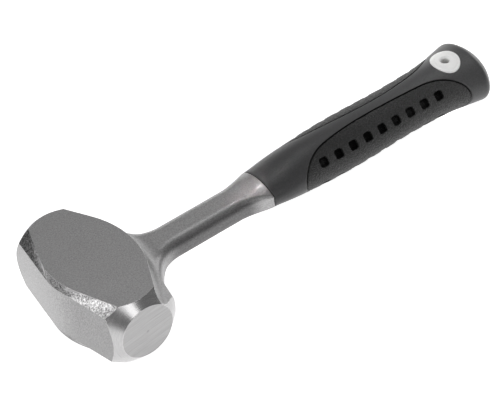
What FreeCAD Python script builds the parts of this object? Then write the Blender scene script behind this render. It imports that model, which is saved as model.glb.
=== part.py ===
import FreeCAD, Part
import math
import os
import Sketcher

V = FreeCAD.Vector

# ---------------------------------------------------------------------------
# Lump hammer forged in one piece with its shank, with a moulded grip.
#
# Frame of the model space: X runs along the handle from the head to the butt,
# Y is the striking axis, Z is square to the cheeks.  Every piece is modelled
# about the mid plane of the head and then lifted by half the cheek thickness,
# so the finished hammer lies on the plane Z = 0 with the origin in the middle
# of the lower cheek.
# ---------------------------------------------------------------------------

DIMENSIONS = [
    # alias, value in millimetres or degrees, what it is
    ("head_half_length", 52.0, "striking axis, centre to face"),
    ("face_radius", 18.0, "flat face of each end"),
    ("face_break", 0.5, "edge break round each face"),
    ("end_cone_angle", 46.4, "turned end, between its side and the striking axis"),
    ("turned_depth", 27.0, "how far in from its face an end is turned"),
    ("cheek_half", 22.0, "half thickness over the cheeks"),
    ("cheek_corner_y", 45.1, "corner of a cheek along the striking axis"),
    ("cheek_corner_x", 12.35, "corner of a cheek along the handle"),
    ("cheek_neck_apex", 27.5, "edge of the cheek on the handle side, at the middle"),
    ("cheek_neck_angle", 26.5, "slope of that edge at the corners"),
    ("cheek_crown_apex", 26.0, "edge of the cheek on the top side, at the middle"),
    ("cheek_crown_angle", 21.0, "slope of that edge at the corners"),
    ("crown_half", 17.0, "half width of the wall that closes the top side"),
    ("crown_apex", 27.85, "top wall at the middle"),
    ("crown_corner_x", 19.6, "top wall in line with the faces"),
    ("crown_angle", 9.6, "slope of the top wall towards the faces"),
    ("crown_bulge", 1.2, "swell of the top wall at its mid height"),
    ("overrun", 56.0, "half length of the blank before its ends are turned"),
    ("web_half", 7.4, "half thickness of the web and the shank"),
    ("rim_round", 6.4, "rounding along the rim of the web and the shank"),
    ("rim_end_round", 7.0, "the same at the two ends of the web"),
    ("web_corner_x", 27.0, "corner of the rim where the web turns towards the shank"),
    ("web_corner_y", 31.6, "the same, along the striking axis"),
    ("web_lean", 10.0, "slope of the rim from there to the turned end"),
    ("web_bend", 8.0, "rounding of that corner"),
    ("gusset_angle", 34.5, "slope of the web between that corner and the shank"),
    ("gusset_bend", 25.0, "rounding where the web runs into the shank"),
    ("shank_half", 11.0, "half width of the shank"),
    ("flare_start", 101.0, "where the shank begins to flare"),
    ("flare_width_radius", 45.7, "radius of the flare seen on the cheek side"),
    ("flare_rise", 1.35, "growth of the half thickness over the flare"),
    ("collar_crown", 26.0, "crown radius of the broad faces at the collar"),
    ("collar_round", 2.6, "corner rounding at the collar"),
    ("collar_end", 121.0, "front edge of the grip"),
    ("collar_gap", 0.4, "open joint between the collar and the grip"),
    ("tang_end", 252.0, "end of the tang in the grip"),
    ("tang_half_width", 7.0, "tang, across the striking axis"),
    ("tang_half_thick", 4.5, "tang, square to the cheeks"),
    ("tang_round", 1.5, "edges of the tang"),
    ("key_radius", 3.0, "keying holes through the tang"),
    ("key_pitch", 42.0, "spacing of the keying holes"),
    ("key_start", 150.0, "first keying hole"),
    ("core_inset", 5.6, "soft cover over the core"),
    ("core_front", 126.0, "front end of the core"),
    ("core_back", 283.0, "back end of the core"),
    ("panel_depth", 3.0, "thickness of a side panel"),
    ("panel_apex_x", 208.0, "panel edge nearest the middle of the grip"),
    ("panel_apex_y", 4.0, "the same, across the grip"),
    ("panel_long_radius", 300.0, "long sweep of the panel edge"),
    ("panel_end_radius", 40.0, "sweep of the panel edge at its ends"),
    ("panel_front_run", 42.0, "long sweep, apex to its front end"),
    ("panel_back_run", 35.0, "long sweep, apex to its back end"),
    ("panel_turn", 62.0, "slope of the panel edge at its tips"),
    ("groove_gap", 0.8, "open groove between a panel and the body"),
    ("pocket_long", 5.5, "grip pocket, along the handle"),
    ("pocket_wide", 5.7, "grip pocket, across"),
    ("pocket_round", 1.3, "corners of a pocket"),
    ("pocket_depth", 2.4, "depth of a pocket below the panel surface"),
    ("pocket_pitch", 11.2, "spacing of the pockets"),
    ("pocket_count", 9, "pockets in a row"),
    ("pocket_start", 159.6, "middle of the first pocket"),
    ("pocket_tilt", 40.0, "direction a row faces, up from the striking axis"),
    ("pocket_y", 15.3, "middle of a row at the panel surface, along the striking axis"),
    ("pocket_z", 8.6, "the same, up from the mid plane"),
    ("butt_end", 292.0, "end of the butt"),
    ("butt_dome", 20.0, "depth of the domed end"),
    ("butt_dome_width", 27.8, "half width of the dome where it starts"),
    ("butt_dome_thick", 20.2, "half thickness of the dome where it starts"),
    ("butt_round", 4.0, "rounding round the rim of the dome"),
    ("front_round", 0.9, "rounding of the grip's front edge"),
    ("eye_centre", 267.5, "middle of the lanyard eye"),
    ("eye_bore", 2.6, "radius of the lanyard hole"),
    ("eye_tube", 4.4, "radius of the sleeve round the lanyard hole"),
    ("eye_flange_long", 8.6, "half length of the eye plate along the handle"),
    ("eye_flange_wide", 10.3, "half width of the eye plate across the handle"),
    ("eye_proud", 0.9, "eye plate standing proud of the body"),
    ("eye_sunk", 1.8, "eye plate let into the body"),
    ("eye_mouth", 3.7, "radius of the countersink at the lanyard hole"),
]

# Grip sections: distance along the handle, half width, half thickness.
GRIP_SECTIONS = [
    (121.0, 16.2, 9.3),
    (130.0, 17.1, 10.4),
    (141.0, 17.7, 12.4),
    (152.0, 17.7, 14.3),
    (165.0, 18.3, 15.3),
    (180.0, 18.9, 15.4),
    (196.0, 19.1, 15.0),
    (215.0, 18.6, 14.5),
    (232.0, 18.3, 14.7),
    (248.0, 18.4, 15.4),
    (262.0, 19.6, 16.2),
    (274.0, 22.3, 16.8),
    (284.0, 24.5, 17.2),
    (294.0, 26.0, 17.4),
]

doc = FreeCAD.newDocument("lump_hammer")
sheet = doc.addObject("Spreadsheet::Sheet", "dims")


def fill_sheet():
    """Write the driving dimensions, one per row, and name them."""
    row = 1
    for alias, value, note in DIMENSIONS:
        sheet.set(f"A{row}", note)
        sheet.set(f"B{row}", str(value))
        sheet.setAlias(f"B{row}", alias)
        row += 1
    for i, (along, width, thick) in enumerate(GRIP_SECTIONS):
        for name, value in (("along", along), ("width", width), ("thick", thick)):
            sheet.set(f"A{row}", f"grip section {i + 1}, {name}")
            sheet.set(f"B{row}", str(value))
            sheet.setAlias(f"B{row}", f"grip_{name}_{i + 1}")
            row += 1
    doc.recompute()


def value(alias):
    """A driving dimension as a number, to place sketch geometry near its end."""
    return float(sheet.get(alias))


def bind(obj, prop, expression):
    """Tie a property to the sheet; bare aliases are written in <angle> marks."""
    obj.setExpression(prop, expression.replace("<", "dims.").replace(">", ""))


fill_sheet()
LIFT = "<cheek_half>"


def origin_feature(body, role):
    """One of a body's own planes or axes, by role."""
    for feature in body.Origin.OriginFeatures:
        if feature.Role == role:
            return feature
    raise ValueError(role)


def new_sketch(name, plane="XY", body=None):
    """A sketch on XY, on XZ (seen from the near face) or on YZ."""
    if body is not None:
        sketch = body.newObject("Sketcher::SketchObject", name)
        sketch.AttachmentSupport = [(origin_feature(body, plane + "_Plane"), "")]
        sketch.MapMode = "FlatFace"
        return sketch
    sketch = doc.addObject("Sketcher::SketchObject", name)
    turns = {
        "XY": FreeCAD.Rotation(),
        "XZ": FreeCAD.Rotation(V(1, 0, 0), 90),
        "YZ": FreeCAD.Rotation(V(1, 1, 1), 120),
    }
    sketch.Placement = FreeCAD.Placement(V(), turns[plane])
    return sketch


def hold(sketch, kind, *where, expression=None, name=None):
    """Add one constraint and, where it is a size, bind it to the sheet."""
    index = sketch.addConstraint(Sketcher.Constraint(kind, *where))
    if name:
        sketch.renameConstraint(index, name)
    if expression:
        bind(sketch, f"Constraints[{index}]", expression)
    return index


def closed_loop(sketch, edges):
    """Join the end of each edge to the start of the next."""
    for first, second in zip(edges, edges[1:] + edges[:1]):
        hold(sketch, "Coincident", first[0], first[2], second[0], second[1])


def lift(obj):
    """Stand a finished piece on the plane under the lower cheek."""
    bind(obj, "Placement.Base.z", LIFT)


# ---------------------------------------------------------------------------
# Forging: head, web, shank, collar and tang in one piece
# ---------------------------------------------------------------------------

def arc_through(centre, radius, start_deg, end_deg):
    """Counter-clockwise arc."""
    circle = Part.Circle(V(centre[0], centre[1], 0), V(0, 0, 1), radius)
    return Part.ArcOfCircle(circle, math.radians(start_deg), math.radians(end_deg))


def crowned_side(apex, corner_x, corner_y, angle):
    """Radius of the arc that rounds off two straight slopes at the middle."""
    lean = math.radians(angle)
    rise = corner_y * math.sin(lean) - (apex - corner_x) * math.cos(lean)
    return rise / (1.0 - math.cos(lean))


def blank_outline(name, apex, angle, corner_x, corner_y, level, swell=None):
    """Outline of the forging seen on the cheek: top side, ends, web, shank.

    The top side is two slopes joined by an arc; the handle side is the rim of
    the web, which narrows over two gussets to the shank.
    """
    sketch = new_sketch(name)
    lean = math.radians(value(angle))
    over = value("overrun")
    grow = value(swell) if swell else 0.0
    ax, cx, cy = value(apex) + grow, value(corner_x) + grow, value(corner_y)
    radius = crowned_side(ax, cx, cy, value(angle))
    touch_y = radius * math.sin(lean)
    touch_x = -(ax - radius * (1 - math.cos(lean)))
    end_x = touch_x + (over - touch_y) * math.tan(lean)

    half, stop = value("shank_half"), value("flare_start")
    web_lean, gusset = value("web_lean"), value("gusset_angle")
    corner = V(value("web_corner_x"), -value("web_corner_y"), 0)
    foot_x = corner.x + (-half - corner.y) * math.tan(math.radians(gusset))
    web_end = V(corner.x - (over + corner.y) * math.tan(math.radians(web_lean)), -over, 0)
    foot = V(foot_x, -half, 0)
    p_stop = V(stop, -half, 0)

    def rounding(before, at, after, bend):
        """Tangent points and centre of the arc that rounds off a corner."""
        back, ahead = (before - at).normalize(), (after - at).normalize()
        split = back.getAngle(ahead) / 2
        middle = (back + ahead).normalize()
        reach = bend / math.tan(split)
        return at + back * reach, at + ahead * reach, at + middle * (bend / math.sin(split))

    t_web, t_low, web_c = rounding(web_end, corner, foot, value("web_bend"))
    t_high, t_shank, foot_c = rounding(corner, foot, p_stop, value("gusset_bend"))

    def mirrored(p):
        return V(p.x, -p.y, 0)

    def line(p, q):
        return Part.LineSegment(p, q)

    top = V(end_x, over, 0)
    pts = [V(touch_x, touch_y, 0), V(touch_x, -touch_y, 0), mirrored(top)]
    shape = [
        arc_through((-ax + radius, 0), radius, 180 - value(angle), 180 + value(angle)),
        line(pts[1], pts[2]),
        line(pts[2], web_end),
        line(web_end, t_web),
        arc_through(web_c, value("web_bend"), 180 - gusset, 180 - web_lean),
        line(t_low, t_high),
        arc_through(foot_c, value("gusset_bend"), 90, 180 - gusset),
        line(t_shank, p_stop),
        line(p_stop, mirrored(p_stop)),
        line(mirrored(p_stop), mirrored(t_shank)),
        arc_through(mirrored(foot_c), value("gusset_bend"), gusset - 180, -90),
        line(mirrored(t_high), mirrored(t_low)),
        arc_through(mirrored(web_c), value("web_bend"), web_lean - 180, gusset - 180),
        line(mirrored(t_web), mirrored(web_end)),
        line(mirrored(web_end), top),
        line(top, pts[0]),
    ]
    for geometry in shape:
        sketch.addGeometry(geometry, False)
    backwards = (4, 6, 10, 12)
    closed_loop(sketch, [(i, 2, 1) if i in backwards else (i, 1, 2) for i in range(len(shape))])
    bind(sketch, "Placement.Base.z", level)
    return sketch


def ellipse_section(name, along, width, thick):
    """Cross-section of the grip: an ellipse square to the handle."""
    sketch = new_sketch(name, "YZ")
    sketch.addGeometry(Part.Ellipse(V(), 20.0, 10.0), False)
    sketch.exposeInternalGeometry(0)
    # Geometry 1 and 2 are the long and the short axis of the ellipse.
    hold(sketch, "Coincident", 0, 3, -1, 1)
    hold(sketch, "Horizontal", 1)
    hold(sketch, "Distance", 1, 30.0, expression=f"2 * ({width})")
    hold(sketch, "Distance", 2, 20.0, expression=f"2 * ({thick})")
    bind(sketch, "Placement.Base.x", along)
    return sketch


def grip_loft(name, inset, first=1):
    """Smooth solid through the grip sections, drawn in by an inset."""
    sections = []
    for i in range(first, len(GRIP_SECTIONS) + 1):
        sections.append(ellipse_section(
            f"{name}_section_{i}",
            f"<grip_along_{i}>",
            f"<grip_width_{i}> - ({inset})",
            f"<grip_thick_{i}> - ({inset})",
        ))
    loft = doc.addObject("Part::Loft", name)
    loft.Sections = sections
    loft.Solid = True
    loft.Ruled = False
    return loft


def extrude(name, sketch, direction, length, both=False):
    """Solid from a closed sketch; both means equally to each side."""
    solid = doc.addObject("Part::Extrusion", name)
    solid.Base = sketch
    solid.DirMode = "Custom"
    solid.Dir = V(*direction)
    solid.Solid = True
    solid.Symmetric = both
    bind(solid, "LengthFwd", length)
    return solid


def combine(kind, name, *parts):
    """Boolean of two or more solids: Cut, Common or Fuse."""
    if kind == "Cut":
        tool = parts[1]
        if len(parts) > 2:
            tool = combine("Fuse", name + "_tools", *parts[1:])
        result = doc.addObject("Part::Cut", name)
        result.Base = parts[0]
        result.Tool = tool
        return result
    result = doc.addObject({"Common": "Part::MultiCommon", "Fuse": "Part::MultiFuse"}[kind], name)
    result.Shapes = list(parts)
    return result


def mirror(name, source, normal):
    """Mirror image in a plane through the origin."""
    copy = doc.addObject("Part::Mirroring", name)
    copy.Source = source
    copy.Base = V()
    copy.Normal = V(*normal)
    return copy


def rounded(name, source, radius, wanted):
    """Fillet the edges for which wanted(edge, faces at it) is true.

    The radius is a number, or a function of the point at each end of an edge.
    """
    doc.recompute()
    shape = source.Shape
    chosen = []
    for number, edge in enumerate(shape.Edges, 1):
        faces = shape.ancestorsOfType(edge, Part.Face)
        if not wanted(edge, faces):
            continue
        if callable(radius):
            chosen.append((number, radius(edge.firstVertex().Point), radius(edge.lastVertex().Point)))
        else:
            chosen.append((number, radius, radius))
    if not chosen:
        raise ValueError(f"{name}: no edges to round")
    fillet = doc.addObject("Part::Fillet", name)
    fillet.Base = source
    fillet.Edges = chosen
    return fillet


# --- head blank: a prism for the crown wall, and a taper up to each cheek ---

wall_low = blank_outline("crown_outline", "crown_apex", "crown_angle",
                         "crown_corner_x", "head_half_length", "-<crown_half>", swell="crown_bulge")
wall_high = blank_outline("crown_outline_high", "crown_apex", "crown_angle",
                          "crown_corner_x", "head_half_length", "<crown_half>")
cheek = blank_outline("cheek_outline", "cheek_crown_apex", "cheek_crown_angle",
                      "cheek_corner_x", "cheek_corner_y", "<cheek_half>")
prism = extrude("crown_prism", wall_low, (0, 0, 1), "2 * <crown_half>")
strip = doc.addObject("Part::Loft", "cheek_strip")
strip.Sections = [wall_high, cheek]
strip.Solid = True
strip.Ruled = True
strip_under = mirror("cheek_strip_under", strip, (0, 0, 1))
blank = combine("Fuse", "head_blank", prism, strip, strip_under)

# --- coves that sweep from the cheek edges down to the web -----------------

lean = math.radians(value("cheek_neck_angle"))
neck_radius = crowned_side(value("cheek_neck_apex"), value("cheek_corner_x"),
                           value("cheek_corner_y"), value("cheek_neck_angle"))
neck_centre = value("cheek_neck_apex") - neck_radius
touch = V(neck_centre + neck_radius * math.cos(lean), -neck_radius * math.sin(lean), 0)
run = 40.0
away = V(touch.x - run * math.sin(lean), touch.y - run * math.cos(lean), 0)
path = new_sketch("cove_path")
path.addGeometry(arc_through((neck_centre, 0), neck_radius, -value("cheek_neck_angle"), 0), False)
path.addGeometry(Part.LineSegment(touch, away), False)
hold(path, "Coincident", 0, 1, 1, 1)
hold(path, "PointOnObject", 0, 3, -1)
hold(path, "PointOnObject", 0, 2, -1)
hold(path, "DistanceX", -1, 1, 0, 2, value("cheek_neck_apex"), expression="<cheek_neck_apex>")

cove_depth = value("cheek_half") - value("web_half")
reach = 90.0
ceiling = value("cheek_half") + 10
x0, z0 = value("cheek_neck_apex"), value("cheek_half")
profile = new_sketch("cove_profile", "XZ")
profile.addGeometry(arc_through((x0 + cove_depth, z0), cove_depth, 180, 270), False)
corners = [V(x0 + cove_depth, z0 - cove_depth, 0), V(x0 + reach, z0 - cove_depth, 0),
           V(x0 + reach, ceiling, 0), V(x0, ceiling, 0), V(x0, z0, 0)]
for p, q in zip(corners, corners[1:]):
    profile.addGeometry(Part.LineSegment(p, q), False)
closed_loop(profile, [(0, 1, 2), (1, 1, 2), (2, 1, 2), (3, 1, 2), (4, 1, 2)])

sweep = doc.addObject("Part::Sweep", "cove_near_top")
sweep.Sections = [profile]
sweep.Spine = (path, ["Edge1", "Edge2"])
sweep.Solid = True
sweep.Frenet = False
cove_far = mirror("cove_far_top", sweep, (0, 1, 0))
cove_near_low = mirror("cove_near_low", sweep, (0, 0, 1))
cove_far_low = mirror("cove_far_low", cove_far, (0, 0, 1))

# --- the top wall swells at its mid height: a hollow cutter run along it -----

lean = math.radians(value("crown_angle"))
crown_x, swell = value("crown_apex"), value("crown_bulge")
crown_radius = crowned_side(crown_x, value("crown_corner_x"),
                            value("head_half_length"), value("crown_angle"))
crown_centre = crown_radius - crown_x
touch = V(crown_centre - crown_radius * math.cos(lean), -crown_radius * math.sin(lean), 0)
away = V(touch.x + 60 * math.sin(lean), touch.y - 60 * math.cos(lean), 0)
crown_path = new_sketch("crown_path")
crown_path.addGeometry(arc_through((crown_centre, 0), crown_radius, 180, 180 + value("crown_angle")), False)
crown_path.addGeometry(Part.LineSegment(touch, away), False)
hold(crown_path, "Coincident", 0, 2, 1, 1)
hold(crown_path, "PointOnObject", 0, 3, -1)
hold(crown_path, "PointOnObject", 0, 1, -1)
hold(crown_path, "DistanceX", 0, 1, -1, 1, crown_x, expression="<crown_apex>")

height = value("crown_half")
belly = (height ** 2 + swell ** 2) / (2 * swell)
spread = math.degrees(math.asin(height / belly))
hollow = new_sketch("crown_profile", "XZ")
hollow.addGeometry(arc_through((belly - swell - crown_x, 0), belly, 180 - spread, 180 + spread), False)
corners = [V(-crown_x, -height, 0), V(-crown_x - 15, -height, 0),
           V(-crown_x - 15, height, 0), V(-crown_x, height, 0)]
for p, q in zip(corners, corners[1:]):
    hollow.addGeometry(Part.LineSegment(p, q), False)
closed_loop(hollow, [(0, 1, 2), (1, 1, 2), (2, 1, 2), (3, 1, 2)])
cutter = doc.addObject("Part::Sweep", "crown_cutter_near")
cutter.Sections = [hollow]
cutter.Spine = (crown_path, ["Edge1", "Edge2"])
cutter.Solid = True
cutter.Frenet = False
cutter_far = mirror("crown_cutter_far", cutter, (0, 1, 0))
coved = combine("Cut", "coved_blank", blank, sweep, cove_far, cove_near_low, cove_far_low,
                cutter, cutter_far)


def on_web_rim(edge, faces):
    """Edges where the flat rim wall of the web meets its top or its underside."""
    box = edge.BoundBox
    level = max(abs(box.ZMin), abs(box.ZMax))
    if level > value("web_half") + 6 or box.ZMin * box.ZMax < 25:
        return False
    if box.XMax < value("web_corner_x") - 4 or box.XLength + box.YLength < 0.01:
        return False
    walls = 0
    for face in faces:
        u0, u1, v0, v1 = face.ParameterRange
        normal = face.normalAt((u0 + u1) / 2, (v0 + v1) / 2)
        if abs(normal.z) < 0.01 and face.BoundBox.XMin < value("flare_start") - 1:
            walls += 1
    return walls == 1


def rim_radius(point):
    """Rounding of the rim: full along the shank, less towards the turned ends."""
    start, end = value("web_corner_y"), value("overrun")
    part_way = max(0.0, (abs(point.y) - start) / (end - start))
    return value("rim_round") + (value("rim_end_round") - value("rim_round")) * part_way


rimmed = rounded("rimmed_blank", coved, rim_radius, on_web_rim)

# --- turned ends: everything outside two cones on the striking axis is cut ---

turned = new_sketch("turned_profile")
half = value("head_half_length")
radius = value("face_radius")
step = value("face_break")
slope = math.tan(math.radians(value("end_cone_angle")))
inner = half - value("turned_depth")
broad = radius + slope * (half - step - inner)
clear = 130.0
outline = [(0, -half), (radius - step, -half), (radius, -half + step), (broad, -inner),
           (clear, -inner), (clear, inner), (broad, inner),
           (radius, half - step), (radius - step, half), (0, half)]
points = [V(x, y, 0) for x, y in outline]
for p, q in zip(points, points[1:] + points[:1]):
    turned.addGeometry(Part.LineSegment(p, q), False)
closed_loop(turned, [(i, 1, 2) for i in range(10)])
for index in (0, 3, 5, 8):
    hold(turned, "Horizontal", index)
for index in (4, 9):
    hold(turned, "Vertical", index)
hold(turned, "PointOnObject", 9, 1, -2)
hold(turned, "DistanceX", -1, 1, 4, 1, clear)
for index, end in ((3, 1), (5, 2)):
    hold(turned, "DistanceX", -1, 1, index, end, broad,
         expression="<face_radius> + tan(<end_cone_angle>) * (<turned_depth> - <face_break>)")
hold(turned, "DistanceY", 4, 1, -1, 1, inner, expression="<head_half_length> - <turned_depth>")
hold(turned, "DistanceY", -1, 1, 4, 2, inner, expression="<head_half_length> - <turned_depth>")
hold(turned, "DistanceY", 0, 1, -1, 1, half, expression="<head_half_length>")
hold(turned, "DistanceY", -1, 1, 8, 2, half, expression="<head_half_length>")
hold(turned, "DistanceX", 0, 1, 0, 2, radius - step, expression="<face_radius> - <face_break>")
hold(turned, "DistanceX", 0, 1, 1, 2, radius, expression="<face_radius>")
hold(turned, "DistanceY", 0, 2, 1, 2, step, expression="<face_break>")
hold(turned, "DistanceX", 0, 1, 8, 1, radius - step, expression="<face_radius> - <face_break>")
hold(turned, "DistanceX", 0, 1, 7, 1, radius, expression="<face_radius>")
envelope = doc.addObject("Part::Revolution", "turned_envelope")
envelope.Source = turned
envelope.Axis = V(0, 1, 0)
envelope.Base = V()
envelope.Angle = 360
envelope.Solid = True
head = combine("Common", "turned_head", rimmed, envelope)


# --- flare of the shank up to the collar, and the tang inside the grip --------

def shank_section(name, along, width, thick, corner, broad, sizes):
    """Section of the shank: two crowned broad faces joined by round sides."""
    half_w, half_t, c, b = sizes
    zc = half_t - b + math.sqrt((b - c) ** 2 - (half_w - c) ** 2)
    turn = math.degrees(math.atan2(zc - (half_t - b), half_w - c))
    yc = half_w - c
    sketch = new_sketch(name, "YZ")
    for geometry in [
        arc_through((0, half_t - b), b, turn, 180 - turn),
        arc_through((yc, zc), c, 0, turn),
        Part.LineSegment(V(half_w, -zc, 0), V(half_w, zc, 0)),
        arc_through((yc, -zc), c, 360 - turn, 360),
        arc_through((0, b - half_t), b, 180 + turn, 360 - turn),
        arc_through((-yc, -zc), c, 180, 180 + turn),
        Part.LineSegment(V(-half_w, zc, 0), V(-half_w, -zc, 0)),
        arc_through((-yc, zc), c, 180 - turn, 180),
    ]:
        sketch.addGeometry(geometry, False)
    around = [2, 1, 0, 7, 6, 5, 4, 3]
    for first, second in zip(around, around[1:] + around[:1]):
        hold(sketch, "Tangent", first, 2, second, 1)
    for index in (3, 5, 7):
        hold(sketch, "Equal", 1, index)
    hold(sketch, "Equal", 0, 4)
    hold(sketch, "PointOnObject", 0, 3, -2)
    hold(sketch, "Symmetric", 2, 1, 2, 2, -1)
    hold(sketch, "Symmetric", 2, 1, 6, 2, -2)
    hold(sketch, "Radius", 1, c, expression=corner)
    hold(sketch, "Radius", 0, b, expression=broad)
    hold(sketch, "DistanceX", -1, 1, 2, 1, half_w, expression=width)
    hold(sketch, "DistanceY", 0, 3, -1, 1, b - half_t, expression=f"{broad} - ({thick})")
    bind(sketch, "Placement.Base.x", along)
    return sketch


def shank_end_section(name, along):
    """Section of the straight shank: flat broad faces and round sides."""
    half_w, half_t, c = value("shank_half"), value("web_half"), value("rim_round")
    yc, zc = half_w - c, half_t - c
    sketch = new_sketch(name, "YZ")
    for geometry in [
        Part.LineSegment(V(yc, half_t, 0), V(-yc, half_t, 0)),
        arc_through((yc, zc), c, 0, 90),
        Part.LineSegment(V(half_w, -zc, 0), V(half_w, zc, 0)),
        arc_through((yc, -zc), c, 270, 360),
        Part.LineSegment(V(-yc, -half_t, 0), V(yc, -half_t, 0)),
        arc_through((-yc, -zc), c, 180, 270),
        Part.LineSegment(V(-half_w, zc, 0), V(-half_w, -zc, 0)),
        arc_through((-yc, zc), c, 90, 180),
    ]:
        sketch.addGeometry(geometry, False)
    around = [2, 1, 0, 7, 6, 5, 4, 3]
    for first, second in zip(around, around[1:] + around[:1]):
        hold(sketch, "Tangent", first, 2, second, 1)
    for index in (3, 5, 7):
        hold(sketch, "Equal", 1, index)
    hold(sketch, "Symmetric", 2, 1, 2, 2, -1)
    hold(sketch, "Symmetric", 2, 1, 6, 2, -2)
    hold(sketch, "Radius", 1, c, expression="<rim_round>")
    hold(sketch, "DistanceX", -1, 1, 2, 1, half_w, expression="<shank_half>")
    hold(sketch, "DistanceY", -1, 1, 0, 1, half_t, expression="<web_half>")
    bind(sketch, "Placement.Base.x", along)
    return sketch


FLARE_STEPS = 5
flare_run = value("collar_end") - value("collar_gap") - value("flare_start")
flare_sections = [shank_end_section("flare_section_0", "<flare_start>")]
for number in range(1, FLARE_STEPS + 1):
    part_way = number / FLARE_STEPS
    travel = f"((<collar_end> - <collar_gap> - <flare_start>) * {part_way})"
    sizes = (value("shank_half") + (flare_run * part_way) ** 2 / (2 * value("flare_width_radius")),
             value("web_half") + value("flare_rise") * part_way ** 3,
             value("rim_round") + (value("collar_round") - value("rim_round")) * part_way,
             value("collar_crown") / part_way)
    flare_sections.append(shank_section(
        f"flare_section_{number}",
        f"<flare_start> + {travel}",
        f"<shank_half> + {travel} * {travel} / (2 * <flare_width_radius>)",
        f"<web_half> + <flare_rise> * {part_way ** 3}",
        f"<rim_round> + (<collar_round> - <rim_round>) * {part_way}",
        f"<collar_crown> / {part_way}",
        sizes,
    ))
flare = doc.addObject("Part::Loft", "shank_flare")
flare.Sections = flare_sections
flare.Solid = True
flare.Ruled = False

tang_block = doc.addObject("Part::Box", "tang_block")
bind(tang_block, "Length", "<tang_end> - <collar_end> + 4")
bind(tang_block, "Width", "2 * <tang_half_width>")
bind(tang_block, "Height", "2 * <tang_half_thick>")
bind(tang_block, "Placement.Base.x", "<collar_end> - 4")
bind(tang_block, "Placement.Base.y", "-<tang_half_width>")
bind(tang_block, "Placement.Base.z", "-<tang_half_thick>")
tang_solid = rounded("tang_rounded", tang_block, value("tang_round"),
                     lambda edge, faces: edge.BoundBox.XLength > value("tang_half_width") * 3)
keys = []
for k in range(3):
    hole = doc.addObject("Part::Cylinder", f"key_hole_{k + 1}")
    bind(hole, "Radius", "<key_radius>")
    bind(hole, "Height", "4 * <tang_half_thick>")
    bind(hole, "Placement.Base.x", f"<key_start> + {k} * <key_pitch>")
    bind(hole, "Placement.Base.z", "-2 * <tang_half_thick>")
    keys.append(hole)
tang = combine("Cut", "tang", tang_solid, *keys)

forging = combine("Fuse", "forging", head, flare, tang)
forging.Refine = True
forging.Label = "forged_hammer"
lift(forging)

# ---------------------------------------------------------------------------
# Grip: hard core round the tang, soft body over it, two textured side panels
# ---------------------------------------------------------------------------

outer = grip_loft("grip_skin", "0")
under_panel = grip_loft("grip_under_panel", "<panel_depth>")
core_loft = grip_loft("core_skin", "<core_inset>")

# --- domed butt: an ellipsoid capping a straight elliptical bar ---------------

dome = doc.addObject("Part::Ellipsoid", "butt_dome")
bind(dome, "Radius1", "<butt_dome>")
bind(dome, "Radius2", "<butt_dome_thick>")
bind(dome, "Radius3", "<butt_dome_width>")
dome.Placement = FreeCAD.Placement(V(), FreeCAD.Rotation(V(0, 1, 0), 90))
bind(dome, "Placement.Base.x", "<butt_end> - <butt_dome>")
bar_end = ellipse_section("butt_bar_section", "<butt_end> - <butt_dome>",
                          "<butt_dome_width>", "<butt_dome_thick>")
bar = extrude("butt_bar", bar_end, (-1, 0, 0), "<butt_end> - <butt_dome> - <collar_end> + 10")
butt = combine("Fuse", "butt_envelope", bar, dome)
domed = combine("Common", "domed_grip", outer, butt)


def on_butt_rim(edge, faces):
    box = edge.BoundBox
    return box.XMin > value("butt_end") - value("butt_dome") + 1 and box.YLength > 5 and len(faces) == 2


def on_front_edge(edge, faces):
    box = edge.BoundBox
    return box.XMax < value("collar_end") + 0.01 and box.YLength > 5


grip_round = rounded("grip_round", domed, value("butt_round"), on_butt_rim)
grip_shape = rounded("grip_shape", grip_round, value("front_round"), on_front_edge)

# --- core ------------------------------------------------------------------------

core_box = doc.addObject("Part::Box", "core_length")
bind(core_box, "Length", "<core_back> - <core_front>")
core_box.Width = 80
core_box.Height = 80
core_box.Placement.Base = V(0, -40, -40)
bind(core_box, "Placement.Base.x", "<core_front>")
core_full = combine("Common", "core_full", core_loft, core_box)


# --- plan outline that parts each side panel from the body ------------------------

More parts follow.
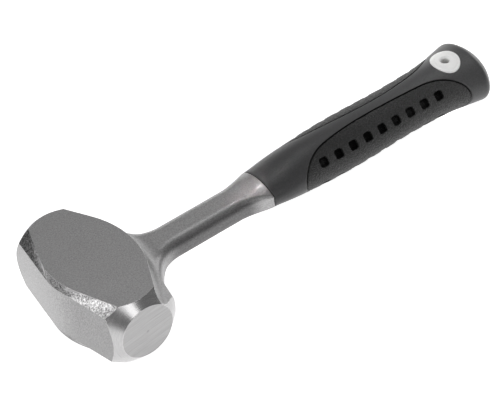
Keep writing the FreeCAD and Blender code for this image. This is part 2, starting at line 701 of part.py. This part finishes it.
def panel_region(name, grow):
    """Prism over one side of the grip; its inner edge is three blended arcs."""
    sketch = new_sketch(name + "_outline")
    long_r, end_r = value("panel_long_radius"), value("panel_end_radius")
    ax, ay = value("panel_apex_x"), -value("panel_apex_y")
    front, back = value("panel_front_run"), value("panel_back_run")
    a_front = math.degrees(math.asin(front / long_r))
    a_back = math.degrees(math.asin(back / long_r))
    long_c = V(ax, ay - long_r, 0)

    def inner_centre(angle, side):
        lean = math.radians(angle)
        gap = long_r - end_r
        return V(long_c.x + side * gap * math.sin(lean), long_c.y + gap * math.cos(lean), 0)

    c_front = inner_centre(a_front, -1)
    c_back = inner_centre(a_back, 1)
    turn = value("panel_turn")
    far = -60.0

    def on_end(centre, side):
        lean = math.radians(turn)
        r = end_r + grow
        return V(centre.x + side * r * math.sin(lean), centre.y + r * math.cos(lean), 0)

    p_front, p_back = on_end(c_front, -1), on_end(c_back, 1)
    q_front, q_back = V(p_front.x, far, 0), V(p_back.x, far, 0)
    sketch.addGeometry(arc_through(c_back, end_r + grow, 90 - turn, 90 - a_back), False)
    sketch.addGeometry(arc_through(long_c, long_r + grow, 90 - a_back, 90 + a_front), False)
    sketch.addGeometry(arc_through(c_front, end_r + grow, 90 + a_front, 90 + turn), False)
    sketch.addGeometry(Part.LineSegment(p_front, q_front), False)
    sketch.addGeometry(Part.LineSegment(q_front, q_back), False)
    sketch.addGeometry(Part.LineSegment(q_back, p_back), False)
    hold(sketch, "Tangent", 0, 2, 1, 1)
    hold(sketch, "Tangent", 1, 2, 2, 1)
    for first, second in ((2, 3), (3, 4), (4, 5), (5, 0)):
        hold(sketch, "Coincident", first, 2, second, 1)
    hold(sketch, "Radius", 0, end_r + grow, expression=f"<panel_end_radius> + {grow}")
    hold(sketch, "Radius", 2, end_r + grow, expression=f"<panel_end_radius> + {grow}")
    hold(sketch, "Radius", 1, long_r + grow, expression=f"<panel_long_radius> + {grow}")
    hold(sketch, "DistanceX", -1, 1, 1, 3, ax, expression="<panel_apex_x>")
    return extrude(name, sketch, (0, 0, 1), "80", both=True)


panel_prism = panel_region("panel_prism", 0.0)
recess_prism = panel_region("recess_prism", value("groove_gap"))
panel_shell = combine("Cut", "panel_shell", grip_shape, under_panel)
panel_blank = combine("Common", "panel_blank", panel_shell, panel_prism)
recess = combine("Common", "recess_near", panel_shell, recess_prism)
recess_far = mirror("recess_far", recess, (0, 1, 0))


# --- pockets: two rows of nine in each panel ----------------------------------------

def pocket_row(name, side):
    """A row of rounded square cutters facing out and up (side 1) or down (-1)."""
    cutters = []
    for k in range(int(value("pocket_count"))):
        block = doc.addObject("Part::Box", f"{name}_{k + 1}")
        bind(block, "Length", "<pocket_long>")
        bind(block, "Width", "<pocket_wide>")
        block.Height = 10
        cutters.append(rounded(
            f"{name}_{k + 1}_cutter", block, value("pocket_round"),
            lambda edge, faces: edge.BoundBox.ZLength > 9,
        ))
        tilt = FreeCAD.Rotation(V(1, 0, 0), 90 - side * value("pocket_tilt"))
        centre = V(0, -value("pocket_y"), side * value("pocket_z"))
        corner = tilt.multVec(V(0, -value("pocket_wide") / 2, -value("pocket_depth")))
        block.Placement = FreeCAD.Placement(centre + corner, tilt)
        bind(block, "Placement.Base.x",
             f"<pocket_start> + {k} * <pocket_pitch> - <pocket_long> / 2")
    return cutters


rows = pocket_row("pocket_upper", 1) + pocket_row("pocket_lower", -1)
near_panel = combine("Cut", "near_panel", panel_blank, *rows)
near_panel.Label = "near_side_panel"
far_panel = mirror("far_panel", near_panel, (0, 1, 0))
far_panel.Label = "far_side_panel"

# --- lanyard eye: one plate and sleeve let into each cheek side of the butt -----------

eye_over = grip_loft("eye_over", "-<eye_proud>", first=9)
eye_under = grip_loft("eye_under", "<eye_sunk>", first=9)
plate_outline = new_sketch("eye_plate_outline")
plate_outline.addGeometry(Part.Ellipse(V(0, 12, 0), V(9, 0, 0), V()), False)
plate_outline.exposeInternalGeometry(0)
hold(plate_outline, "Coincident", 0, 3, -1, 1)
hold(plate_outline, "Vertical", 1)
hold(plate_outline, "Distance", 1, 24.0, expression="2 * <eye_flange_wide>")
hold(plate_outline, "Distance", 2, 18.0, expression="2 * <eye_flange_long>")
bind(plate_outline, "Placement.Base.x", "<eye_centre>")
plate_column = extrude("eye_plate_column", plate_outline, (0, 0, 1), "30")
plate_block = combine("Common", "eye_plate_block", plate_column, eye_over)
plate = combine("Cut", "eye_plate", plate_block, eye_under)


def eye_cylinder(name, radius, low, high):
    """Upright cylinder on the lanyard axis."""
    solid = doc.addObject("Part::Cylinder", name)
    bind(solid, "Radius", radius)
    bind(solid, "Height", f"({high}) - ({low})")
    bind(solid, "Placement.Base.x", "<eye_centre>")
    bind(solid, "Placement.Base.z", low)
    return solid


sleeve_full = eye_cylinder("eye_sleeve_full", "<eye_tube>", "0", "30")
sleeve = combine("Common", "eye_sleeve", sleeve_full, eye_over)
eye_blank = combine("Fuse", "eye_blank", plate, sleeve)
bore = eye_cylinder("eye_bore", "<eye_bore>", "-30", "30")
mouth = doc.addObject("Part::Cone", "eye_mouth")
bind(mouth, "Radius1", "<eye_bore>")
bind(mouth, "Radius2", "<eye_mouth> + 2")
bind(mouth, "Height", "<eye_mouth> + 2 - <eye_bore>")
bind(mouth, "Placement.Base.x", "<eye_centre>")
bind(mouth, "Placement.Base.z", "<grip_thick_11> + <eye_proud> + 0.3 - (<eye_mouth> - <eye_bore>)")
eye_cut = combine("Cut", "eye_cut", eye_blank, bore, mouth)


def on_plate_edge(edge, faces):
    """Outer rim of the plate, where its side meets its domed top."""
    box = edge.BoundBox
    return (box.ZMax > value("grip_thick_11") - 4 and box.YLength > 2 * value("eye_tube")
            and edge.BoundBox.ZMax > 14.9)


eye_top = rounded("eye_top", eye_cut, 0.5, on_plate_edge)
eye_top.Label = "lanyard_eye_upper"
eye_low = mirror("eye_low", eye_top, (0, 0, 1))
bind(eye_low, "Base.z", LIFT)
eye_low.Label = "lanyard_eye_lower"

# --- body and core with everything else let into them -----------------------------------

seat_upper = combine("Cut", "eye_seat_upper", combine("Common", "eye_seat_column",
                     plate_column, grip_shape), eye_under)
seat_lower = mirror("eye_seat_lower", seat_upper, (0, 0, 1))
shaft = eye_cylinder("eye_shaft", "<eye_tube>", "-30", "30")
body = combine("Cut", "grip_cover", grip_shape, core_full, tang, recess, recess_far,
               seat_upper, seat_lower, shaft)
body.Label = "grip_body"
core = combine("Cut", "core", core_full, tang, shaft)
core.Label = "grip_core"

PIECES = [forging, core, body, near_panel, far_panel, eye_top, eye_low]
for piece in (core, body, near_panel, eye_top):
    lift(piece)

doc.recompute()
faults = [f"{obj.Label}: {obj.State}" for obj in doc.Objects
          if "Invalid" in obj.State or "Error" in obj.State]
if faults:
    raise ValueError("; ".join(faults))

os.makedirs("parts", exist_ok=True)
for piece in PIECES:
    shape = piece.Shape
    if shape.isNull() or not shape.isValid() or shape.Volume < 1:
        raise ValueError(f"{piece.Label}: bad shape")
    shape.exportStep(f"parts/{piece.Label}.step")
    print(piece.Label, round(shape.Volume), len(shape.Solids), shape.BoundBox)
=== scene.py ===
import bpy
import math
from mathutils import Matrix, Vector


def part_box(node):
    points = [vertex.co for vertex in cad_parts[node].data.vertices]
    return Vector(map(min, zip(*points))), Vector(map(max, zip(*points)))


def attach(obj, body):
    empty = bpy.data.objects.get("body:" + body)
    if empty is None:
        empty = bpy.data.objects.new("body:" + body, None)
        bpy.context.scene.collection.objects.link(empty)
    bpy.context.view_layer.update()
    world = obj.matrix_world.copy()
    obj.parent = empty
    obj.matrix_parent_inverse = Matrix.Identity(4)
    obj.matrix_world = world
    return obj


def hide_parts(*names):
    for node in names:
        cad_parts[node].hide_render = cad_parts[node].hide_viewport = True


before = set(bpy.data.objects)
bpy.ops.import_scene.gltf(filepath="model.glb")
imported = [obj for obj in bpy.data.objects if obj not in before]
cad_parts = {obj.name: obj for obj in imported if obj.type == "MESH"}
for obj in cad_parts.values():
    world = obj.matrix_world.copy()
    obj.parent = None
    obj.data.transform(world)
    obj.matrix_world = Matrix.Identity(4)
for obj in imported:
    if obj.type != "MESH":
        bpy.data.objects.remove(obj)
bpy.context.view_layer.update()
MM = 0.001

# ---------------------------------------------------------------------------
# Node helpers
# ---------------------------------------------------------------------------


class Nodes:
    """A material with short ways to add and join its shader nodes."""

    def __init__(self, name):
        self.material = bpy.data.materials.new(name)
        self.material.use_nodes = True
        self.tree = self.material.node_tree
        self.tree.nodes.clear()
        out = self.tree.nodes.new("ShaderNodeOutputMaterial")
        self.shader = self.tree.nodes.new("ShaderNodeBsdfPrincipled")
        self.tree.links.new(self.shader.outputs[0], out.inputs["Surface"])
        geometry = self.tree.nodes.new("ShaderNodeNewGeometry")
        self.normal = geometry.outputs["Normal"]
        self.facet = geometry.outputs["True Normal"]
        coordinates = self.tree.nodes.new("ShaderNodeTexCoord")
        self.place = coordinates.outputs["Object"]

    def add(self, kind, **settings):
        node = self.tree.nodes.new(kind)
        for key, setting in settings.items():
            setattr(node, key, setting)
        return node

    def put(self, socket, source):
        """Link a socket to another, or give it a constant."""
        if isinstance(source, bpy.types.NodeSocket):
            self.tree.links.new(source, socket)
        else:
            socket.default_value = source

    def set(self, name, source):
        """Link or set one input of the shader."""
        self.put(self.shader.inputs[name], source)

    def colour(self, tone, red=1.0, blue=1.0):
        """Base colour of the shader: a grey tone, tinted by its red and blue."""
        self.set("Base Color", self.join(self.product(tone, red), tone, self.product(tone, blue)))

    def math(self, operation, a, b=0.0):
        node = self.add("ShaderNodeMath", operation=operation)
        self.put(node.inputs[0], a)
        self.put(node.inputs[1], b)
        return node.outputs[0]

    def product(self, first, *others):
        for source in others:
            first = self.math("MULTIPLY", first, source)
        return first

    def weigh(self, base, *terms):
        """The base plus every source times its weight."""
        for source, weight in terms:
            base = self.math("ADD", base, self.product(source, weight))
        return base

    def length(self, a, b):
        return self.math("SQRT", self.math("ADD", self.product(a, a), self.product(b, b)))

    def inverse(self, mask):
        return self.math("SUBTRACT", 1.0, mask)

    def clamped(self, source):
        """The source held between zero and one."""
        node = self.add("ShaderNodeClamp")
        self.put(node.inputs["Value"], source)
        return node.outputs[0]

    def split(self, vector):
        node = self.add("ShaderNodeSeparateXYZ")
        self.put(node.inputs[0], vector)
        return node.outputs

    def join(self, x, y, z):
        node = self.add("ShaderNodeCombineXYZ")
        for socket, source in zip(node.inputs, (x, y, z)):
            self.put(socket, source)
        return node.outputs[0]

    def step(self, source, low, high, start=0.0, end=1.0):
        """Smooth ramp from start at low to end at high."""
        node = self.add("ShaderNodeMapRange", interpolation_type="SMOOTHSTEP")
        self.put(node.inputs["Value"], source)
        for key, number in (("From Min", low), ("From Max", high),
                            ("To Min", start), ("To Max", end)):
            self.put(node.inputs[key], number)
        return node.outputs[0]

    def noise(self, scale, detail, rough, vector=None, distortion=0.0):
        node = self.add("ShaderNodeTexNoise")
        self.put(node.inputs["Vector"], vector or self.place)
        self.put(node.inputs["Scale"], scale)
        self.put(node.inputs["Detail"], detail)
        self.put(node.inputs["Roughness"], rough)
        self.put(node.inputs["Distortion"], distortion)
        return node.outputs["Fac"]

    def cells(self, scale, smooth=None):
        """Distance from the middle of the nearest cell, its borders rounded off by smooth."""
        feature = "F1" if smooth is None else "SMOOTH_F1"
        node = self.add("ShaderNodeTexVoronoi", feature=feature)
        self.put(node.inputs["Vector"], self.place)
        self.put(node.inputs["Scale"], scale)
        if smooth is not None:
            self.put(node.inputs["Smoothness"], smooth)
        return node.outputs["Distance"]

    def mix(self, factor, a, b):
        """Blend of two numbers."""
        node = self.add("ShaderNodeMix", data_type="FLOAT")
        self.put(node.inputs[0], factor)
        self.put(node.inputs[2], a)
        self.put(node.inputs[3], b)
        return node.outputs[0]

    def bump(self, height, distance, normal=None):
        node = self.add("ShaderNodeBump")
        self.put(node.inputs["Height"], height)
        self.put(node.inputs["Distance"], distance)
        self.put(node.inputs["Strength"], 1.0)
        if normal is not None:
            self.put(node.inputs["Normal"], normal)
        return node.outputs["Normal"]

    def soft_edge(self, radius):
        """Normal that turns smoothly over an edge."""
        node = self.add("ShaderNodeBevel", samples=6)
        self.put(node.inputs["Radius"], radius)
        return node.outputs[0]

    def edge(self, radius):
        """Zero on the flat, rising over an edge."""
        node = self.add("ShaderNodeVectorMath", operation="DOT_PRODUCT")
        self.put(node.inputs[0], self.soft_edge(radius))
        self.put(node.inputs[1], self.normal)
        return self.step(node.outputs["Value"], 0.995, 0.8)

    def open_air(self, reach, alone=True):
        """One on open skin, falling towards zero deep in a hollow."""
        node = self.add("ShaderNodeAmbientOcclusion", samples=8, only_local=alone)
        self.put(node.inputs["Distance"], reach)
        return node.outputs["AO"]


# ---------------------------------------------------------------------------
# Steel: the x axis runs from the striking axis to the butt, y from face to face
# ---------------------------------------------------------------------------

forging_low, forging_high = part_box("forged_hammer")
FACE_Y = forging_high.y
MID_Z = (forging_low.z + forging_high.z) / 2

# How far the finishes of the ends reach in from a striking face, where the rough
# facet begins, and from where to where the painted shade of the rim and the top wall, and the
# painted light and shade of the rough facet, fade.
FACE_DEPTH = 2 * MM
CONE_DEPTH = 14 * MM
STRIP_X = -8 * MM
RIM_PAINTED_SHADE_BAND = (7.2 * MM, 4.6 * MM)
RIM_PAINTED_SHADE_IN = (38 * MM, 56 * MM)
RIM_PAINTED_SHADE_OUT = (116 * MM, 104 * MM)
WALL_PAINTED_SHADE = (0.0, -24 * MM)
STRIP_PAINTED_LIGHT_AND_SHADE = (-10 * MM, -19 * MM)
CENTRE_MARK = (1.1 * MM, 0.5 * MM)
GRINDING_TILT = math.radians(7)
STEEL_EDGE = 0.5 * MM


def steel_zones(n, x, y, ny, nz):
    """Masks of the striking faces, the turned cones and the rough facet on top."""
    side = n.math("ABSOLUTE", y)
    lean = n.math("ABSOLUTE", ny)
    slope = n.math("ABSOLUTE", nz)
    face = n.product(n.step(lean, 0.97, 0.99),
                     n.step(side, FACE_Y - FACE_DEPTH, FACE_Y - FACE_DEPTH / 2))
    end = n.product(n.step(lean, 0.6, 0.66),
                    n.step(side, FACE_Y - CONE_DEPTH, FACE_Y - CONE_DEPTH + 2 * MM))
    cone = n.product(end, n.inverse(face))
    strip = n.product(n.step(slope, 0.2, 0.25), n.step(slope, 0.985, 0.97),
                      n.step(x, STRIP_X, STRIP_X - MM), n.step(cone, 0.5, 0.4))
    return face, cone, strip


def steel_marks(n, x, z):
    """Rings turned round the striking axis, lines ground across the faces, centre mark."""
    radius = n.length(x, z)
    angle = n.math("ARCTAN2", z, x)
    turning = n.join(n.product(radius, 2600.0), n.product(angle, 2.0), 0.0)
    rings = n.noise(1.0, 3.0, 0.7, vector=turning)
    across = n.math("SUBTRACT", n.product(z, math.cos(GRINDING_TILT)),
                    n.product(x, math.sin(GRINDING_TILT)))
    grinding = n.join(n.product(across, 1500.0), n.product(x, 26.0), 0.0)
    lines = n.noise(1.0, 4.0, 0.75, vector=grinding)
    return rings, lines, n.step(radius, *CENTRE_MARK)


def blasted_tone(n, x, y, z, nx, fine, coarse):
    """Tone of the blasted skin, with a faint cloudiness.

    Painted shade makes the rim of the neck and the shank darker, and the top wall
    darker towards the near face.
    """
    cloud = n.noise(45.0, 4.0, 0.6)
    tone = n.weigh(0.06, (fine, 0.46), (coarse, 0.10), (cloud, 0.05))
    # Painted shade: the rim of the neck and the shank falls to 0.42 of the tone.
    rim = n.product(n.step(n.math("ABSOLUTE", z), *RIM_PAINTED_SHADE_BAND),
                    n.step(x, *RIM_PAINTED_SHADE_IN), n.step(x, *RIM_PAINTED_SHADE_OUT))
    # Painted shade: the top wall grows darker towards the near face.
    wall = n.product(n.step(nx, -0.6, -0.8), n.step(y, *WALL_PAINTED_SHADE))
    return n.product(tone, n.mix(rim, 1.0, 0.42), n.mix(wall, 1.06, 0.84))


def steel():
    """Blasted forging with turned ends and ground faces."""
    n = Nodes("forged_steel")
    x, y, z = n.split(n.place)
    z = n.math("SUBTRACT", z, MID_Z)
    nx, ny, nz = n.split(n.facet)
    face, cone, strip = steel_zones(n, x, y, ny, nz)
    rings, lines, centre = steel_marks(n, x, z)
    fine = n.noise(1250.0, 2.0, 0.6)
    coarse = n.noise(900.0, 2.0, 0.7)
    pits = n.step(n.cells(900.0), 0.12, 0.4)

    # The rough facet has a speckled tone, with painted light on its near part and painted shade
    # on its far part.
    speckle_painted_light_and_shade = n.product(n.weigh(-0.50, (coarse, 1.90)), n.step(y, *STRIP_PAINTED_LIGHT_AND_SHADE, 0.42, 1.15))
    tone = n.mix(strip, blasted_tone(n, x, y, z, nx, fine, coarse), speckle_painted_light_and_shade)
    tone = n.mix(cone, tone, n.weigh(0.32, (rings, 0.28)))
    tone = n.mix(face, tone, n.weigh(0.16, (lines, 0.44), (centre, -0.08)))
    # Painted highlight: the tone is lifted along the edges.
    n.colour(n.clamped(n.weigh(tone, (n.edge(STEEL_EDGE), 0.5))), red=1.01, blue=1.005)

    n.set("Metallic", 1.0)
    rough = n.mix(strip, n.weigh(0.38, (fine, 0.14)), 0.40)
    rough = n.mix(cone, rough, n.weigh(0.16, (rings, 0.14)))
    n.set("Roughness", n.mix(face, rough, n.weigh(0.30, (lines, 0.2))))
    n.set("Anisotropic", n.product(cone, 0.6))
    tangent = n.add("ShaderNodeTangent", direction_type="RADIAL", axis="Y")
    n.set("Tangent", tangent.outputs[0])

    # Dimples on the blasted skin only; rings, lines and the centre mark on the ends.
    machined = n.clamped(n.math("ADD", cone, face))
    skin = n.weigh(n.product(fine, 0.5), (pits, 0.35), (n.product(strip, coarse), 2.5))
    cut = n.weigh(n.product(rings, cone, 0.10), (n.product(lines, face), 0.12),
                  (n.product(centre, face), -0.9))
    relief = n.math("ADD", n.product(skin, n.inverse(machined)), cut)
    n.set("Normal", n.bump(relief, 0.06 * MM, normal=n.soft_edge(STEEL_EDGE)))
    return n.material


# ---------------------------------------------------------------------------
# Rubber and plastic
# ---------------------------------------------------------------------------

eye_low, eye_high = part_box("lanyard_eye_upper")


def rubber_colour(n, tone, clear_of_painted_shade, blue=1.0):
    """Colour and shine of a rubber; where the mask is zero, painted shade takes the colour nearly
    to black and the shine falls nearly to nothing.
    """
    n.colour(n.product(tone, n.mix(clear_of_painted_shade, 0.05, 1.0)), blue=blue)
    n.set("Specular IOR Level", n.mix(clear_of_painted_shade, 0.06, 0.5))


def grip_rubber():
    """Smooth satin cover of the grip, with a faint haze and fine moulded skin."""
    n = Nodes("grip_rubber")
    skin = n.noise(1100.0, 2.0, 0.6)
    haze = n.noise(38.0, 4.0, 0.6)
    rub = n.noise(140.0, 3.0, 0.6, distortion=0.6)
    # Painted highlight: the tone is a little lighter along the edges.
    tone = n.weigh(0.020, (haze, 0.018), (skin, 0.044), (n.edge(0.6 * MM), 0.05))
    # Painted shade keeps the cover dark deep in the grooves round the panels.
    clear_of_painted_shade = n.step(n.open_air(3 * MM, alone=False), 0.5, 0.8)
    rubber_colour(n, tone, clear_of_painted_shade, blue=1.03)
    n.set("Roughness", n.weigh(0.38, (rub, 0.16)))
    n.set("Sheen Weight", 0.32)
    n.set("Sheen Roughness", 0.4)
    n.set("Normal", n.bump(skin, 0.012 * MM, normal=n.soft_edge(0.35 * MM)))
    return n.material


def panel_rubber():
    """Darker rubber of the side panels, with a close leather-like grain."""
    n = Nodes("panel_rubber")
    grain = n.step(n.cells(1150.0, smooth=0.35), 0.1, 0.75)
    pores = n.noise(1500.0, 2.0, 0.65)
    haze = n.noise(60.0, 4.0, 0.6)
    tone = n.clamped(n.weigh(n.product(haze, 0.012), (grain, -0.008), (pores, 0.042)))
    # Painted shade makes the pockets nearly black inside.
    rubber_colour(n, tone, n.step(n.open_air(5 * MM), 0.74, 0.97))
    n.set("Roughness", n.weigh(0.34, (grain, 0.22)))
    n.set("Sheen Weight", 0.06)
    n.set("Sheen Roughness", 0.45)
    relief = n.weigh(n.product(grain, -1.0), (pores, 0.5))
    n.set("Normal", n.bump(relief, 0.36 * MM))
    return n.material


def core_plastic():
    """Hard core, seen only where the cover leaves it bare."""
    n = Nodes("core_plastic")
    flow = n.noise(220.0, 3.0, 0.6, distortion=1.0)
    n.colour(n.weigh(0.018, (flow, 0.012)))
    n.set("Roughness", n.weigh(0.45, (flow, 0.15)))
    n.set("Normal", n.bump(flow, 0.02 * MM))
    return n.material


def white_plastic():
    """Glossy white moulding with a shallow raised ring inside its edge."""
    n = Nodes("white_plastic")
    x, y = n.split(n.place)[:2]
    middle = (eye_low + eye_high) / 2
    half = (eye_high - eye_low) / 2
    u = n.math("DIVIDE", n.math("SUBTRACT", x, middle.x), half.x)
    v = n.math("DIVIDE", n.math("SUBTRACT", y, middle.y), half.y)
    ring = n.length(u, v)
    rim = n.product(n.step(ring, 0.66, 0.72), n.step(ring, 0.86, 0.80))
    haze = n.noise(160.0, 3.0, 0.55)
    peel = n.noise(700.0, 2.0, 0.5)
    # Painted shade makes the hole darker inside.
    clear_of_painted_shade = n.step(n.open_air(4 * MM), 0.35, 0.85)
    n.colour(n.product(n.weigh(0.93, (haze, 0.05)), n.mix(clear_of_painted_shade, 0.12, 1.0)), blue=0.99)
    n.set("Roughness", n.weigh(0.24, (haze, 0.12)))
    relief = n.weigh(rim, (peel, 0.05))
    n.set("Normal", n.bump(relief, 0.22 * MM, normal=n.soft_edge(0.3 * MM)))
    return n.material


def assign(node, material):
    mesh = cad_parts[node].data
    mesh.materials.clear()
    mesh.materials.append(material)


assign("forged_hammer", steel())
assign("grip_body", grip_rubber())
assign("grip_core", core_plastic())
eye = white_plastic()
assign("lanyard_eye_upper", eye)
assign("lanyard_eye_lower", eye)

# ---------------------------------------------------------------------------
# Side panels: the CAD shape remeshed, so that its grain is real relief
# ---------------------------------------------------------------------------

LEATHER = panel_rubber()
# At 0.42 mm the remesh opened a hole in the thin floor of a pocket.
PANEL_MESH = 0.37 * MM
GRAIN_SIZE = 1.8 * MM
GRAIN_DEPTH = 0.22 * MM


def grained_panel(node, name):
    """Copy of a panel with rounded pocket rims and a grain pressed into its skin."""
    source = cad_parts[node]
    piece = bpy.data.objects.new(name, source.data.copy())
    bpy.context.scene.collection.objects.link(piece)
    piece.data.materials.clear()
    piece.data.materials.append(LEATHER)
    remesh = piece.modifiers.new("even_mesh", "REMESH")
    remesh.mode = "VOXEL"
    remesh.voxel_size = PANEL_MESH
    remesh.use_smooth_shade = True
    soften = piece.modifiers.new("soften", "SMOOTH")
    soften.factor = 0.5
    soften.iterations = 3
    pattern = bpy.data.textures.new(name + "_grain", "VORONOI")
    pattern.noise_scale = GRAIN_SIZE
    pattern.distance_metric = "DISTANCE"
    grain = piece.modifiers.new("grain", "DISPLACE")
    grain.texture = pattern
    grain.texture_coords = "LOCAL"
    grain.strength = -GRAIN_DEPTH
    grain.mid_level = 0.0
    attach(piece, "root")
    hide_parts(node)


grained_panel("near_side_panel", "near_panel_skin")
grained_panel("far_side_panel", "far_panel_skin")

# ---------------------------------------------------------------------------
# Studio
# ---------------------------------------------------------------------------

# The camera's angles in degrees, its aim and distance in metres.
CAMERA_AZIMUTH, CAMERA_ELEVATION, CAMERA_ROLL = -33.995, 41.598, -6.049
CAMERA_AIM = Vector((0.09066, -0.03417, 0.02519 + MID_Z))
CAMERA_DISTANCE = 1.66285
LENS, SENSOR_WIDTH = 206.83, 36.0
FLOOR_HALF = 6.0
FLOOR_WHITE = 0.93
FLOOR_GLOW = 0.85
SKY_STRENGTH = 0.24
HEAD_AIM = (0.05, 0.0, 0.0)
NECK_AIM = (0.1, 0.0, 0.0)


def camera():
    """Camera on a long lens, above the near face and to the head side."""
    azimuth = math.radians(CAMERA_AZIMUTH)
    elevation = math.radians(CAMERA_ELEVATION)
    roll = math.radians(CAMERA_ROLL)
    back = Vector((math.sin(azimuth) * math.cos(elevation),
                   -math.cos(azimuth) * math.cos(elevation), math.sin(elevation)))
    right = Vector((math.cos(azimuth), math.sin(azimuth), 0))
    up = back.cross(right)
    across = right * math.cos(roll) + up * math.sin(roll)
    above = up * math.cos(roll) - right * math.sin(roll)
    data = bpy.data.cameras.new("camera")
    data.sensor_width = SENSOR_WIDTH
    data.lens = LENS
    data.clip_start = 0.05
    data.clip_end = 50.0
    cam = bpy.data.objects.new("camera", data)
    turn = Matrix((across, above, back)).transposed().to_4x4()
    cam.matrix_world = Matrix.Translation(CAMERA_AIM + back * CAMERA_DISTANCE) @ turn
    bpy.context.scene.collection.objects.link(cam)
    bpy.context.scene.camera = cam


def softbox(name, place, aim, size, power, spread=180):
    """Rectangular lamp that looks from its place to its aim."""
    data = bpy.data.lights.new(name, "AREA")
    data.shape = "RECTANGLE"
    data.size, data.size_y = size
    data.energy = power
    data.spread = math.radians(spread)
    lamp = bpy.data.objects.new(name, data)
    lamp.location = Vector(place)
    lamp.rotation_euler = (Vector(aim) - Vector(place)).to_track_quat("-Z", "Y").to_euler()
    bpy.context.scene.collection.objects.link(lamp)


def floor():
    """White floor that glows a little, so that the shadow nearly vanishes."""
    mesh = bpy.data.meshes.new("floor")
    s = FLOOR_HALF
    mesh.from_pydata([(-s, -s, 0), (s, -s, 0), (s, s, 0), (-s, s, 0)], [], [(0, 1, 2, 3)])
    obj = bpy.data.objects.new("floor", mesh)
    bpy.context.scene.collection.objects.link(obj)
    n = Nodes("floor_white")
    n.set("Base Color", (FLOOR_WHITE, FLOOR_WHITE, FLOOR_WHITE, 1))
    n.set("Roughness", 0.9)
    n.set("Emission Color", (1, 1, 1, 1))
    n.set("Emission Strength", FLOOR_GLOW)
    mesh.materials.append(n.material)


def studio():
    """White surroundings, five softboxes and two small lamps."""
    world = bpy.data.worlds.new("studio")
    bpy.context.scene.world = world
    world.use_nodes = True
    background = world.node_tree.nodes["Background"]
    background.inputs["Color"].default_value = (1, 1, 1, 1)
    background.inputs["Strength"].default_value = SKY_STRENGTH
    softbox("front", (-0.2, -1.65, 1.25), HEAD_AIM, size=(0.8, 0.5), power=3.2)
    softbox("left", (-1.45, 0.5, 1.1), HEAD_AIM, size=(0.9, 1.0), power=8)
    softbox("overhead", (0.48, 0.6, 1.85), NECK_AIM, size=(0.7, 0.6), power=4.5)
    softbox("right", (1.9, 0.72, 0.26), HEAD_AIM, size=(0.6, 0.4), power=2.8)
    softbox("back", (1.1, 1.6, 0.34), NECK_AIM, size=(1.2, 0.45), power=3.4)
    # The small lamps have a narrow spread and pick out the white eye and the flare.
    softbox("eye_lamp", (0.33, 0.15, 1.3), (0.262, 0.0, 0.04),
            size=(0.1, 0.1), power=0.009, spread=6)
    softbox("flare_lamp", (0.36, 0.42, 0.92), (0.116, 0.0, 0.03),
            size=(0.03, 0.03), power=0.0004, spread=2)
    bpy.context.scene.view_settings.view_transform = "Standard"


camera()
floor()
studio()
